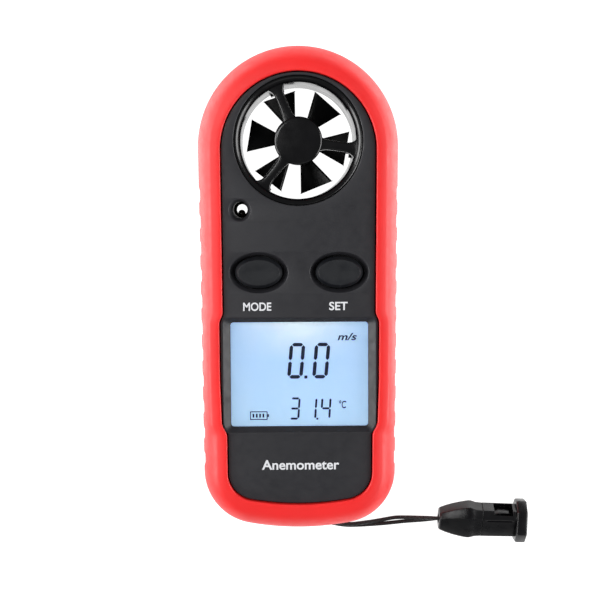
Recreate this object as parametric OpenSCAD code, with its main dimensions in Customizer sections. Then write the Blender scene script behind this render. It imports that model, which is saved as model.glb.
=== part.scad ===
// Handheld vane anemometer with a thermometer, lying on its back.
// +Z points out of the display face, +Y toward the fan and +X to the right of the display.
// The origin is under the middle of the case, on the surface that it lies on. Millimetres.

/* [Case] */
// Length of the case along Y
case_l = 105; // [104.5:0.1:105.5]
// Width of the case at the fan end, over the rubber sleeve
case_w = 43.3; // [43.1:0.1:43.5]
// Width of the case at its foot
foot_w = 42; // [41.8:0.1:42.2]
// Thickness of the case, from its back to the lip of the sleeve
case_h = 18; // [17.9:0.05:18.1]
// Height of the display face above the back
face_z = 17.4; // [17.3:0.05:17.5]
// Number of finger grooves on each side of the sleeve
groove_count = 11; // [1:1:11]
// Depth of a finger groove
groove_deep = 0.42; // [0.3:0.05:0.6]

/* [Fan] */
// Distance of the fan's axis from the middle of the case
fan_y = 32; // [31.9:0.05:32.1]
// Inner radius of the air duct
duct_r = 12.3; // [12.2:0.05:12.4]
// Radius of the guard's hub
guard_hub_r = 5.15; // [5:0.05:5.3]
// Number of impeller blades
blade_count = 6; // [3:1:6]
// Radius of the impeller over its blade tips
impeller_r = 11.2; // [11:0.05:11.4]
// Pitch of the flat blades, in degrees from the fan's plane
blade_pitch = 38; // [30:1:40]
// Radius of the impeller's shaft
shaft_r = 0.5; // [0.45:0.01:0.52]

/* [Buttons and display] */
// Distance of each button from the middle line
key_x = 8.6; // [8.5:0.05:8.8]
// Distance of the buttons' centres from the middle of the case
key_y = 4.05; // [4:0.05:4.2]
// Width of the visible part of the display
view_w = 29.5; // [29:0.1:29.6]
// Height of the visible part of the display
view_h = 22.5; // [22:0.1:22.6]
// Place of the display's centre along Y
view_y = -17.9; // [-18:0.05:-17.8]

/* [Battery] */
// Radius of the coin cell
cell_r = 10; // [9.9:0.05:10]
// Thickness of the coin cell
cell_h = 3.2; // [3.1:0.05:3.2]
// Place of the coin cell's centre along Y
cell_y = -18; // [-18.2:0.05:-17.8]

/* [Lanyard] */
// Diameter of the cord
cord_d = 0.9; // [0.8:0.05:0.9]
// Radius of the pin that the cord loops round
pin_r = 1.4; // [1.3:0.05:1.4]
// Length of the buckle along its axis
buckle_l = 19.7; // [19.5:0.1:20]
// Roll of the buckle about its axis, in degrees
buckle_roll = 30; // [25:1:30]

/* [Hidden] */
$fn = 64;

// How far a cutter runs past a face, and the thickness of a slice that a hull joins
over = 1;
slice = 0.01;
// Gap between the shells and the sleeve, and between a part and its own pocket
slip = 0.05;

// Heights, from the back up
sleeve_z = 0.4;
rim_z = 1.5;
floor_z = 2;
part_z = 8;
ceiling_z = 15.2;
ledge_z = 15.8;
lip_z = ledge_z + slip;
wall = 1.8;

// Outlines in plan: a round top, straight or notched sides, round corners and a slightly round foot
belly_r = 60;
arc_steps = 28;
corner_steps = 8;
belly_steps = 6;

// Sleeve section: quarter ellipses below and above the widest band
waist_low_z = 7.5;
waist_high_z = 10.5;
round_in = 3.6;
round_rise = 7.4;
round_end = 75;
lip_in = 4.6;
sleeve_levels = concat(
    [for (t = [round_end:-25:0])
        [round_in * (1 - cos(t)), waist_low_z - (waist_low_z - sleeve_z) * sin(t) / sin(round_end)]],
    [for (t = [0:25:round_end]) [round_in * (1 - cos(t)), waist_high_z + round_rise * sin(t)]],
    [[lip_in, case_h - slice / 2]]
);
groove_pitch = 5.755;
groove_top_y = 20.6;
groove_floor_l = 2.1;
groove_mouth_l = 3.6;

// Fan
guard_z = 16.2;
hub_z = 12.6;
spoke_w = 2;
spoke_z = 13.2;
spoke_top_z = 16;
spoke_angles = [112, 232, 352];
rim_r = 13.7;
bearing_r = 1.3;
bearing_seat_r = bearing_r + 0.02;
shaft_fit = 0.03;
impeller_z = 8.6;
impeller_hub_r = 4.3;
impeller_hub_h = 4.8;
blade_t = 0.7;
blade_turn = 52;
flex_angle = spoke_angles[1];
flex_t = 0.2;
flex_z = spoke_z + 0.1;

// Sensor hole
sensor_xy = [-12.5, 17.35];
sensor_r = 1.8;
dish_r = 2.35;
bead_at = [-12.3, 16.6, 10];
lead_end = [-9.7, 9.1, 9.85];

// Circuit board
pcb_z = 8.6;
pcb_t = 1;
pcb_top_z = pcb_z + pcb_t;
pcb_x = 15.6;
pcb_y = [-37.8, 9.7];
pcb_screw_xy = [[0, 6.5], [0, -35]];
case_screw_xy = [[13.6, 12.2], [-13.6, 12.2], [11.8, -40.5], [-11.8, -40.5]];
boss_r = 2.3;
screw_r = 0.95;
screw_head_r = 1.9;
screw_seat_z = 2.2;

// Display stack
window_z = 15.25;
window_t = 1;
glass_z = 13.2;
glass_t = 1.8;
guide_z = 10.6;
guide_t = 2.2;
led_x = 6.5;

// Buttons: half axes of the oval key
key_a = 5.05;
key_b = 3.35;
key_gap = 0.3;
moat_z = 16;
key_top_z = 17.8;
key_shoulder_z = 16.9;
key_flange_z = 14.2;
switch_h = 3;
plunger_r = 1.55;
plunger_top_z = 13.1;

// Battery
cell_z = 2.3;
door_r = 12.1;
door_z = 0.1;
lug_r = 13.2;
lug_angles = [90, 210, 330];
lug_half = 11;
lug_z = [2.1, 2.9];
door_turn = 30;
well_r = 13.6;

// Lanyard
pin_at = [3, -48.6];
niche_x = [-1.2, 7.2];
niche_z = [1.4, 5.2];
ear_r = 2.4;
loop_r = 1.95;
loop_z = 3.3;
buckle_at = [31.5, -52.8, 4];
buckle_turn = -2;
head_l = 9.6;
socket_x = 9.9;
flange_x = 17.3;

// Route of the cord: from the buckle to the pin, once round it, and back to the buckle
route_out = [
    [35.4, -52.9, 4.5], [33.5, -52.8, 4.5], [31.5, -52.75, 4.45], [29.5, -52.85, 3.5],
    [27, -53.1, 2.1], [24.5, -53.3, 1], [22, -53.45, 0.5], [19.5, -53.85, 0.5],
    [17, -54.2, 0.8], [14.5, -54.4, 1.3], [12, -54.6, 1.5], [9.6, -54.4, 1.7],
    [7.4, -53.4, 2.2], [5.9, -51.9, 2.8], [5.1, -50.2, 3.2]
];
route_round = [for (a = [0:30:180]) [pin_at.x + loop_r * cos(a), pin_at.y + loop_r * sin(a), loop_z]];
route_back = [
    [1.3, -50.2, 3.1], [2.3, -51.8, 2.5], [3.9, -53.1, 1.6], [5.9, -54.1, 0.9],
    [8, -54.7, 0.5], [10.5, -55.1, 0.5], [13, -55.15, 0.5], [15.5, -55.05, 0.5],
    [18, -54.9, 0.5], [20.5, -54.7, 0.5], [23, -54.45, 0.5], [25, -54.2, 0.8],
    [27, -53.9, 1.5], [29.5, -53.4, 2.6], [31.5, -52.95, 3.45], [33.5, -52.9, 3.5], [35.4, -53, 3.5]
];
cord_route = concat(route_out, route_round, route_back);
cord_sides = 8;

function arc(centre, r, from, to, steps) =
    [for (i = [0:steps]) let (a = from + (to - from) * i / steps) centre + r * [cos(a), sin(a)]];

// A closed outline, anticlockwise. sides lists the right side's corners from top to bottom.
function outline(top_y, top_r, foot_x, corner_r, bottom_y, sides, grow) =
    let (
        belly_y = bottom_y + belly_r,
        corner_y = belly_y - sqrt(pow(belly_r - corner_r, 2) - foot_x * foot_x),
        tangent = atan2(belly_y - corner_y, foot_x)
    )
    concat(
        arc([0, top_y], top_r + grow, 0, 180, arc_steps),
        [for (p = sides) [-p.x - grow, p.y]],
        arc([-foot_x, corner_y], corner_r + grow, 180, 180 + tangent, corner_steps),
        [for (i = [1:belly_steps - 1])
            let (a = 180 + tangent + (180 - 2 * tangent) * i / belly_steps)
            [(belly_r + grow) * cos(a), belly_y + (belly_r + grow) * sin(a)]],
        arc([foot_x, corner_y], corner_r + grow, 360 - tangent, 360, corner_steps),
        [for (i = [1:len(sides)]) let (p = sides[len(sides) - i]) [p.x + grow, p.y]]
    );

corner_r = 12;
function case_outline(grow) =
    outline(case_l / 2 - case_w / 2, case_w / 2, foot_w / 2 - corner_r, corner_r, -case_l / 2, [], grow);
function shell_outline(grow) = outline(30.3, 18.2, 9.95, 8, -48, [], grow);
function back_outline(grow) = outline(30, 16.4, 9.6, 6, -46, [], grow);
face_sides = [[16.35, -4.8], [17.1, -6.4], [17.05, -19], [16.75, -28.6], [15.65, -30.7]];
function face_outline(grow) = outline(30, 16.6, 9.6, 6, -46.05, face_sides, grow);

// Half width of the case at a height y on its straight side
function side_x(y) =
    let (top_y = case_l / 2 - case_w / 2, foot_y = -39.64)
    case_w / 2 - (case_w - foot_w) / 2 * (top_y - y) / (top_y - foot_y);

function oval(a, b) = [for (t = [0:7.5:359]) [a * cos(t), b * sin(t)]];
function chamfered(w, h, c) = [
    [w / 2, -h / 2 + c], [w / 2, h / 2 - c], [w / 2 - c, h / 2], [-w / 2 + c, h / 2],
    [-w / 2, h / 2 - c], [-w / 2, -h / 2 + c], [-w / 2 + c, -h / 2], [w / 2 - c, -h / 2]
];

// A box from two opposite corners
module span(low, high) {
    translate(low) cube(high - low);
}

// A plate of an outline between two heights
module plate(points, low, high) {
    translate([0, 0, low]) linear_extrude(high - low) polygon(points);
}

module rod(from, to, r) {
    along = to - from;
    translate(from) rotate([0, acos(along.z / norm(along)), atan2(along.y, along.x)])
        cylinder(r = r, h = norm(along), $fn = 24);
}

module ring(outer, inner, low, high) {
    translate([0, 0, low]) difference() {
        cylinder(r = outer, h = high - low);
        translate([0, 0, -over]) cylinder(r = inner, h = high - low + 2 * over);
    }
}

// A pie slice about Z, as a cutter
module wedge(angle, half, r, low, high) {
    rotate([0, 0, angle]) translate([0, 0, low]) linear_extrude(high - low)
        polygon([[0, 0], [r, -r * tan(half)], [r, r * tan(half)]]);
}

// Rubber sleeve
module groove(i) {
    y = groove_top_y - i * groove_pitch;
    flank = (groove_mouth_l - groove_floor_l) / 2 / groove_deep;
    reach = groove_mouth_l / 2 + flank * over;
    translate([side_x(y), y, 0]) linear_extrude(case_h)
        polygon([
            [-groove_deep, -groove_floor_l / 2], [over, -reach],
            [over, reach], [-groove_deep, groove_floor_l / 2]
        ]);
}

module sleeve_slice(level) {
    translate([0, 0, level[1] - slice / 2]) linear_extrude(slice) polygon(case_outline(-level[0]));
}

module bumper() color("#ff3434") difference() {
    for (i = [1:len(sleeve_levels) - 1]) hull() {
        sleeve_slice(sleeve_levels[i - 1]);
        sleeve_slice(sleeve_levels[i]);
    }
    plate(shell_outline(0), rim_z, lip_z);
    plate(face_outline(0), lip_z - slice, case_h + over);
    plate(back_outline(0), -over, rim_z + slice);
    for (side = [0, 1], i = [0:groove_count - 1]) mirror([side, 0, 0]) groove(i);
    span([niche_x[0] - 1.6, -case_l, -over], [niche_x[1] + 1.6, -44, niche_z[1] + 1.7]);
}

// Shells
module at_screws(places) {
    for (p = places) translate([p.x, p.y, 0]) children();
}

module front_shell() color("#2d2e32") difference() {
    union() {
        difference() {
            union() {
                plate(shell_outline(-slip), part_z, ledge_z);
                plate(face_outline(-slip), ledge_z - slice, face_z);
            }
            plate(shell_outline(-wall), part_z - over, ceiling_z);
        }
        at_screws(case_screw_xy) translate([0, 0, part_z])
            cylinder(r = boss_r, h = ceiling_z - part_z + slice);
        at_screws(pcb_screw_xy) translate([0, 0, pcb_top_z])
            cylinder(r = 2, h = ceiling_z - pcb_top_z + slice);
        translate([sensor_xy.x, sensor_xy.y, floor_z + slip])
            cylinder(r = sensor_r + 0.8, h = ceiling_z - floor_z);
    }
    translate([0, fan_y, 0]) cylinder(r = rim_r + slip, h = case_h, $fn = 128);
    display_opening();
    for (x = [-key_x, key_x]) translate([x, key_y, 0]) key_opening();
    at_screws(case_screw_xy) translate([0, 0, part_z - over]) cylinder(r = screw_r + slip, h = 5.6);
    at_screws(pcb_screw_xy) translate([0, 0, pcb_top_z - over]) cylinder(r = 0.8, h = 5.2);
    translate([sensor_xy.x, sensor_xy.y, 0]) sensor_opening();
}

module display_opening() {
    translate([0, view_y, 0]) {
        span([-view_w / 2, -view_h / 2, ceiling_z - over], [view_w / 2, view_h / 2, case_h]);
        span([-15.45, -12, ceiling_z - over], [15.45, 12, window_z + window_t + slip]);
        hull() {
            span([-view_w / 2, -view_h / 2, 16.3], [view_w / 2, view_h / 2, 16.3 + slice]);
            span([-16.3, -12.5, face_z], [16.3, 12.3, face_z + slice]);
        }
    }
}

module key_opening() {
    plate(oval(key_a + key_gap, key_b + key_gap), ceiling_z - over, case_h);
    hull() {
        plate(oval(key_a + key_gap, key_b + key_gap), moat_z, moat_z + slice);
        plate(oval(6.3, 4.35), face_z, face_z + slice);
    }
}

module sensor_opening() {
    cylinder(r = sensor_r, h = case_h);
    translate([0, 0, 16.2]) cylinder(r1 = sensor_r, r2 = dish_r + 0.05, h = face_z - 16.2 + 0.1);
    rotate([0, 0, atan2(lead_end.y - sensor_xy.y, lead_end.x - sensor_xy.x)])
        span([0, -0.8, 9.2], [4, 0.8, 10.8]);
}

module rear_shell() color("#26272a") difference() {
    union() {
        difference() {
            union() {
                plate(back_outline(-slip), 0, rim_z + slice);
                plate(shell_outline(-slip), rim_z, part_z);
            }
            plate(shell_outline(-wall), floor_z, part_z + over);
        }
        at_screws(case_screw_xy) cylinder(r = boss_r + 0.1, h = part_z);
        translate([0, cell_y, 0]) cell_well();
        span([niche_x[0] - 1.4, -47.9, rim_z], [niche_x[1] + 1.4, -44.4, niche_z[1] + 1.6]);
        for (z = [[0.2, niche_z[0]], [niche_z[1], niche_z[1] + 1.4]]) ear(z[0], z[1]);
    }
    translate([0, fan_y, -over]) cylinder(r = rim_r + slip, h = case_h, $fn = 128);
    translate([0, cell_y, 0]) door_opening();
    translate([sensor_xy.x, sensor_xy.y, -over]) cylinder(r = 1.2, h = floor_z + 2 * over);
    at_screws(case_screw_xy) translate([0, 0, -over]) {
        cylinder(r = screw_r + 0.1, h = part_z + 2 * over);
        cylinder(r = screw_head_r + 0.2, h = screw_seat_z + over);
    }
    span([niche_x[0], -case_l, niche_z[0]], [niche_x[1], -46, niche_z[1]]);
    translate([pin_at.x, pin_at.y, 0.5]) cylinder(r = pin_r, h = 5.8);
}

module ear(low, high) {
    translate([pin_at.x, pin_at.y, low]) cylinder(r = ear_r, h = high - low);
    span([pin_at.x - ear_r, pin_at.y, low], [pin_at.x + ear_r, -45.5, high]);
}

module cell_well() {
    ring(well_r + 1.2, well_r, floor_z - slice, 6.4);
    for (a = [45:90:315]) rotate([0, 0, a])
        span([cell_r + 0.3, -0.7, lug_z[1] + 0.2], [well_r + 0.5, 0.7, 6.2]);
}

module door_opening() {
    translate([0, 0, -over]) cylinder(r = door_r + key_gap, h = floor_z + 2 * over - 0.5);
    intersection() {
        translate([0, 0, -over]) cylinder(r = lug_r + 0.2, h = floor_z + 2 * over - 0.5);
        union() {
            for (a = lug_angles) wedge(a + door_turn, lug_half + 1, lug_r + over, -over, floor_z + 0.5);
        }
    }
}

// Fan and its bearings
module in_fan() {
    translate([0, fan_y, 0]) children();
}

module fan_housing() color("#1d1e21") in_fan() difference() {
    union() {
        difference() {
            union() {
                translate([0, 0, 0.3]) cylinder(r = rim_r, h = 16.9, $fn = 128);
                translate([0, 0, floor_z]) cylinder(r = 14.4, h = 1.1, $fn = 128);
            }
            translate([0, 0, -over]) cylinder(r = duct_r, h = case_h + 2 * over, $fn = 128);
            translate([0, 0, guard_z]) cylinder(r1 = duct_r, r2 = rim_r + 0.1, h = 1.01, $fn = 128);
        }
        translate([0, 0, hub_z]) cylinder(r = guard_hub_r, h = guard_z - hub_z);
        for (a = spoke_angles) rotate([0, 0, a]) spoke();
    }
    translate([0, 0, hub_z - over]) cylinder(r = bearing_seat_r, h = 1.85 + over);
    rotate([0, 0, flex_angle]) {
        span([2.1, -1.7, hub_z - over], [4.3, 1.7, 13.7]);
        span([4, -0.6, spoke_z - over], [rim_r + 2, 0.6, spoke_z + 0.4]);
    }
}

module spoke() {
    translate([0, 0, spoke_z]) linear_extrude(spoke_top_z - spoke_z)
        polygon([
            [guard_hub_r - 1, -spoke_w / 2], [10.6, -spoke_w / 2], [12.7, -2.1],
            [12.7, 2.1], [10.6, spoke_w / 2], [guard_hub_r - 1, spoke_w / 2]
        ]);
}

module rear_bridge() color("#1d1e21") in_fan() difference() {
    union() {
        translate([0, 0, 1]) cylinder(r = 3.4, h = 3.2);
        intersection() {
            translate([0, 0, 1]) cylinder(r = duct_r - slip, h = 3, $fn = 128);
            union() {
                for (a = spoke_angles) rotate([0, 0, a]) {
                    span([2, -0.8, 1], [duct_r, 0.8, 2.6]);
                    span([11.6, -1.6, 1], [duct_r, 1.6, 4]);
                }
            }
        }
    }
    translate([0, 0, 2.4]) cylinder(r = bearing_seat_r, h = 2 + over);
}

module bearing(seat_z, bore_z, mouth_z) {
    translate([0, 0, min(seat_z, mouth_z)]) difference() {
        cylinder(r = bearing_r, h = abs(mouth_z - seat_z));
        translate([0, 0, min(bore_z, mouth_z) - min(seat_z, mouth_z) - (mouth_z < bore_z ? over : 0)])
            cylinder(r = shaft_r + shaft_fit, h = abs(mouth_z - bore_z) + over);
    }
}

module front_bearing() color("crimson") in_fan() bearing(14.4, 13.7, 12.7);

module rear_bearing() color("crimson") in_fan() bearing(2.45, 3.1, 4.1);

module blade() {
    inner = impeller_hub_r - 0.5;
    outer = impeller_r + 0.5;
    translate([0, 0, impeller_z]) rotate([blade_pitch, 0, 0]) translate([0, 0, -blade_t / 2])
        linear_extrude(blade_t) polygon([[inner, -1.1], [outer, -5.2], [outer, 5.2], [inner, 1.1]]);
}

module impeller() color("#0c0c0e") in_fan() difference() {
    union() {
        translate([0, 0, impeller_z - impeller_hub_h / 2]) cylinder(r = impeller_hub_r, h = impeller_hub_h);
        intersection() {
            translate([0, 0, 4]) cylinder(r = impeller_r, h = 9, $fn = 128);
            union() {
                for (i = [0:blade_count - 1]) rotate([0, 0, blade_turn + i * 360 / blade_count]) blade();
            }
        }
    }
    cylinder(r = shaft_r, h = case_h);
}

module impeller_shaft() color("silver") in_fan()
    translate([0, 0, 3.2]) cylinder(r = shaft_r, h = 10.4);

module impeller_magnet() color("dimgray") in_fan()
    ring(2.4, 0.9, impeller_z + impeller_hub_h / 2, 12);

module hall_sensor() color("#151515") in_fan() rotate([0, 0, flex_angle])
    span([2.3, -1.5, hub_z + 0.1], [3.9, 1.5, 13.5]);

module hall_flex() color("#b06a1f") {
    foot = [-8.68, 20.89];
    in_fan() rotate([0, 0, flex_angle]) {
        span([3.95, -0.5, flex_z], [14.2, 0.5, flex_z + flex_t]);
        span([14, -0.5, pcb_top_z + 0.1], [14.2, 0.5, flex_z + flex_t]);
    }
    span([foot.x - 0.5, 8.8, pcb_top_z + 0.1], [foot.x + 0.5, foot.y + 0.3, pcb_top_z + 0.1 + flex_t]);
}

module thermistor() color("#3a2a1a") {
    translate(bead_at) sphere(r = 0.8, $fn = 32);
    for (s = [-0.3, 0.3]) rod(bead_at + [s, 0, 0], lead_end + [s, 0, 0], 0.15);
}

// Circuit board
module main_pcb() color("#1f6b3a") difference() {
    span([-pcb_x, pcb_y[0], pcb_z], [pcb_x, pcb_y[1], pcb_top_z]);
    at_screws(pcb_screw_xy) translate([0, 0, pcb_z - over]) cylinder(r = 1.1, h = pcb_t + 2 * over);
}

module main_chip() color("#111111") span([-3.5, -6.6, 7.5], [3.5, 0.4, pcb_z]);

module crystal() color("silver") span([7, -3, 6.8], [13, -0.6, pcb_z]);

module pcb_passives() color("tan") {
    for (i = [0:5]) span([-13.5 + 1.6 * i, 3.5, 7.9], [-12.7 + 1.6 * i, 5.1, pcb_z]);
    for (i = [0:3]) span([5 + 2 * i, 2.4, 7.9], [5.9 + 2 * i, 4, pcb_z]);
}

// Display stack
module in_view() {
    translate([0, view_y, 0]) children();
}

module lcd_window() color("lightblue", 0.4) in_view()
    span([-15.4, -11.95, window_z], [15.4, 11.95, window_z + window_t]);

module lcd_glass() color("#8fc0ee") in_view()
    span([-15, -12.3, glass_z], [15, 12.3, glass_z + glass_t]);

module lcd_frame() color("#222222") in_view() difference() {
    span([-15.6, -13.3, pcb_top_z], [15.6, 13.1, glass_z + glass_t - 0.1]);
    span([-15.05, -12.35, glass_z - slip], [15.05, 12.35, ledge_z]);
    span([-14.3, -10, pcb_top_z - over], [14.3, 11.8, ledge_z]);
    span([-13.6, -12.3, pcb_top_z - over], [13.6, -10.3, ledge_z]);
    for (s = [-1, 1]) span([s * led_x - 1.6, 11, pcb_top_z - over], [s * led_x + 1.6, 12.8, 12]);
}

module light_guide() color("#dff0ff") in_view()
    span([-14.2, -9.9, guide_z], [14.2, 11.7, guide_z + guide_t]);

module backlight_leds() color("white") in_view()
    for (s = [-1, 1]) span([s * led_x - 1.4, 11.8, pcb_top_z], [s * led_x + 1.4, 12.7, 11.6]);

module zebra_strip() color("slategray") in_view()
    span([-13.5, -12.2, pcb_top_z], [13.5, -10.4, glass_z]);

// Buttons
module key() {
    translate([0, 0, key_flange_z - 1]) cylinder(r = 1.5, h = 1 + slice);
    plate(oval(5.9, 4.15), key_flange_z, key_flange_z + 0.7);
    plate(oval(key_a, key_b), key_flange_z + 0.6, key_shoulder_z);
    hull() {
        plate(oval(key_a, key_b), key_shoulder_z - slice, key_shoulder_z);
        plate(oval(4.45, 2.75), key_top_z - slice, key_top_z);
    }
}

module button_mode() color("#17181c") translate([-key_x, key_y, 0]) key();

module button_set() color("#17181c") translate([key_x, key_y, 0]) key();

module tact_switch() {
    difference() {
        span([-3, -3, pcb_top_z], [3, 3, pcb_top_z + switch_h]);
        translate([0, 0, pcb_top_z + 0.2]) cylinder(r = plunger_r + 0.15, h = switch_h);
    }
}

module plunger() {
    translate([0, 0, pcb_top_z + 0.8]) cylinder(r = plunger_r, h = plunger_top_z - pcb_top_z - 0.8);
}

module switch_mode() color("#444444") translate([-key_x, key_y, 0]) tact_switch();

module switch_set() color("#444444") translate([key_x, key_y, 0]) tact_switch();

module plunger_mode() color("#888888") translate([-key_x, key_y, 0]) plunger();

module plunger_set() color("#888888") translate([key_x, key_y, 0]) plunger();

// Battery
module coin_cell() color("gainsboro") translate([0, cell_y, cell_z]) {
    cylinder(r = cell_r, h = cell_h - 0.5);
    cylinder(r = cell_r - 1, h = cell_h);
}

module contact_negative() color("gold") translate([0, cell_y + 1.5, 0]) rotate([90, 0, 0])
    linear_extrude(3)
        polygon([
            [-5, pcb_z], [-3, pcb_z], [0.4, cell_z + cell_h + 0.3], [2.2, cell_z + cell_h + 0.3],
            [2.2, cell_z + cell_h], [0.3, cell_z + cell_h], [-3.15, pcb_z - 0.3], [-5, pcb_z - 0.3]
        ]);

module contact_positive() color("gold") translate([0, cell_y, 0]) {
    span([cell_r + 0.02, -2, 3.2], [cell_r + 0.32, 2, pcb_z]);
    span([cell_r + 0.02, -2, pcb_z - 0.3], [cell_r + 3, 2, pcb_z]);
}

module battery_door() color("#26272a") translate([0, cell_y, 0]) difference() {
    union() {
        translate([0, 0, door_z]) cylinder(r = door_r, h = 1.8);
        ring(11.9, 11, door_z + 1.7, lug_z[1]);
        intersection() {
            ring(lug_r, 11.4, lug_z[0], lug_z[1]);
            union() {
                for (a = lug_angles) wedge(a, lug_half, lug_r + over, lug_z[0] - over, lug_z[1] + over);
            }
        }
    }
    span([-6.5, -0.9, -over], [6.5, 0.9, 0.8]);
}

// Fasteners
module screw(head_z, head_h, head_r, r, length) {
    translate([0, 0, head_z - head_h]) difference() {
        cylinder(r = head_r, h = head_h);
        for (a = [0, 90]) rotate([0, 0, a]) span([-1.1, -0.25, -over], [1.1, 0.25, 0.6]);
    }
    translate([0, 0, head_z - slice]) cylinder(r = r, h = length);
}

module case_screws() color("silver")
    at_screws(case_screw_xy) screw(screw_seat_z, 1.5, screw_head_r, screw_r, 10);

module pcb_screws() color("silver")
    at_screws(pcb_screw_xy) screw(pcb_z, 1.1, 1.6, 0.75, 4.5);

module lanyard_pin() color("silver") translate([pin_at.x, pin_at.y, 0.6]) cylinder(r = pin_r, h = 5.6);

// Cord: a tube swept along its route
function heading(i) =
    let (d = cord_route[min(i + 1, len(cord_route) - 1)] - cord_route[max(i - 1, 0)]) d / norm(d);

function cord_ring(i) =
    let (t = heading(i), s = cross(t, [0, 0, 1]), side = s / norm(s), up = cross(side, t))
    [for (k = [0:cord_sides - 1])
        let (a = 360 * k / cord_sides)
        cord_route[i] + cord_d / 2 * (cos(a) * side + sin(a) * up)];

module lanyard_cord() color("#111113") {
    last = len(cord_route) - 1;
    points = [for (i = [0:last], p = cord_ring(i)) p];
    walls = [for (i = [0:last - 1], k = [0:cord_sides - 1])
        let (a = i * cord_sides + k, b = i * cord_sides + (k + 1) % cord_sides)
        [a, a + cord_sides, b + cord_sides, b]];
    ends = [
        [for (k = [0:cord_sides - 1]) k],
        [for (k = [cord_sides - 1:-1:0]) last * cord_sides + k]
    ];
    polyhedron(points, concat(walls, ends));
}

// Buckle, built along +X from the end that holds the cord
module in_buckle() {
    translate(buckle_at) rotate([0, 0, buckle_turn]) rotate([buckle_roll, 0, 0]) children();
}

module bar(from, to, points) {
    translate([from, 0, 0]) rotate([90, 0, 90]) linear_extrude(to - from) polygon(points);
}

module buckle_plug() color("#1b1b1e") in_buckle() {
    difference() {
        hull() {
            bar(0, slice, chamfered(4.8, 3.8, 1));
            bar(6.9, 7.2, chamfered(8.8, 5.8, 1.6));
            bar(head_l - slice, head_l, chamfered(7.5, 5.2, 1.3));
        }
        rotate([0, 90, 0]) translate([0, 0, -over]) cylinder(r = 1.05, h = 4 + over, $fn = 32);
    }
    for (s = [0, 1]) mirror([0, s, 0]) {
        span([head_l - slice, 1.75, -1.3], [16.3, 2.65, 1.3]);
        span([12.8, 2.6, -0.95], [16, 2.88, 0.95]);
    }
    span([head_l - slice, -0.7, -1], [14.5, 0.7, 1]);
}

module buckle_socket() color("#101013") in_buckle() {
    difference() {
        bar(socket_x, flange_x + slice, chamfered(7.5, 5.2, 1.3));
        span([socket_x - over, -2.98, -1.65], [16.7, 2.98, 1.65]);
        for (a = [0, 180]) rotate([a, 0, 0]) span([12.2, 1.5, -1.15], [16.4, 4, 2]);
    }
    rotate([-buckle_roll, 0, 0]) difference() {
        bar(flange_x, buckle_l, chamfered(9.5, 7.2, 2.2));
        span([buckle_l - 1.2, -3.2, -0.8], [buckle_l + over, 3.2, 0.8]);
    }
}

bumper();
front_shell();
rear_shell();
fan_housing();
rear_bridge();
front_bearing();
rear_bearing();
impeller();
impeller_shaft();
impeller_magnet();
hall_sensor();
hall_flex();
thermistor();
main_pcb();
main_chip();
crystal();
pcb_passives();
lcd_window();
lcd_glass();
lcd_frame();
light_guide();
backlight_leds();
zebra_strip();
button_mode();
button_set();
switch_mode();
switch_set();
plunger_mode();
plunger_set();
coin_cell();
contact_negative();
contact_positive();
battery_door();
case_screws();
pcb_screws();
lanyard_pin();
lanyard_cord();
buckle_plug();
buckle_socket();
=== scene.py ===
"""Looks of a handheld weather meter on its back: +Z out of the display, +Y toward the fan.
Lengths are in millimetres, apart from the floor's and the lamps', and pieces are made in metres.
"""
import math

import bmesh
import bpy
from mathutils import Matrix, Vector
from mathutils.geometry import tessellate_polygon


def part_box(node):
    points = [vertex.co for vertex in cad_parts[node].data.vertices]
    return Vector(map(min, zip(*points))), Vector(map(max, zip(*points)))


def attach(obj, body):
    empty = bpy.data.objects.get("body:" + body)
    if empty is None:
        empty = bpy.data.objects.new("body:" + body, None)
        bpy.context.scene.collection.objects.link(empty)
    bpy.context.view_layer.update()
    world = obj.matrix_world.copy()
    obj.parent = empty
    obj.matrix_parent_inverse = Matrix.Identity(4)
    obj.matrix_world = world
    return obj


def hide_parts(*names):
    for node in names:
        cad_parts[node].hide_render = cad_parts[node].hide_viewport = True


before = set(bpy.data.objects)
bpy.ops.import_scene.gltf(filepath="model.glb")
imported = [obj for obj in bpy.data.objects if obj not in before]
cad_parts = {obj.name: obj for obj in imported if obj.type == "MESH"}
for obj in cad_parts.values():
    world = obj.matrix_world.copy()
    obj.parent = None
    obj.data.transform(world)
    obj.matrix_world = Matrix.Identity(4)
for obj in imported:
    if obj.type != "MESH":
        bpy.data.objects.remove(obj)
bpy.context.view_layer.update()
MM = 0.001


def box(*names):
    """Lowest and highest corner of some CAD nodes, in millimetres."""
    boxes = [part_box(n) for n in names]
    low = [min(b[0][i] for b in boxes) / MM for i in range(3)]
    high = [max(b[1][i] for b in boxes) / MM for i in range(3)]
    return Vector(low), Vector(high)


def middle(*names):
    low, high = box(*names)
    return (low + high) / 2


# ---------------------------------------------------------------- camera
CAMERA_AT, CAMERA_TARGET = (-2.94, 19.7, 287), (0.18, -1.85, 17)
CAMERA_ROLL, CAMERA_LENS, CAMERA_FILM = math.radians(-0.3), 76.1, 36
CLIP_NEAR_M, CLIP_FAR_M = 0.01, 20


def added(name, data):
    """A new object in the scene."""
    obj = bpy.data.objects.new(name, data)
    bpy.context.scene.collection.objects.link(obj)
    return obj


def look(location, target, roll, lens):
    """Aims the camera at target and turns it by roll about its own axis."""
    data = bpy.data.cameras.new("camera")
    data.lens = lens
    data.sensor_width = CAMERA_FILM
    data.clip_start = CLIP_NEAR_M
    data.clip_end = CLIP_FAR_M
    camera = added("camera", data)
    forward = (Vector(target) - Vector(location)).normalized()
    level = forward.cross(Vector((0, 1, 0))).normalized()
    rise = level.cross(forward)
    across = level * math.cos(roll) + rise * math.sin(roll)
    up = rise * math.cos(roll) - level * math.sin(roll)
    turn = Matrix((across, up, -forward)).transposed().to_4x4()
    camera.matrix_world = Matrix.Translation(Vector(location) * MM) @ turn
    bpy.context.scene.camera = camera


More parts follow.
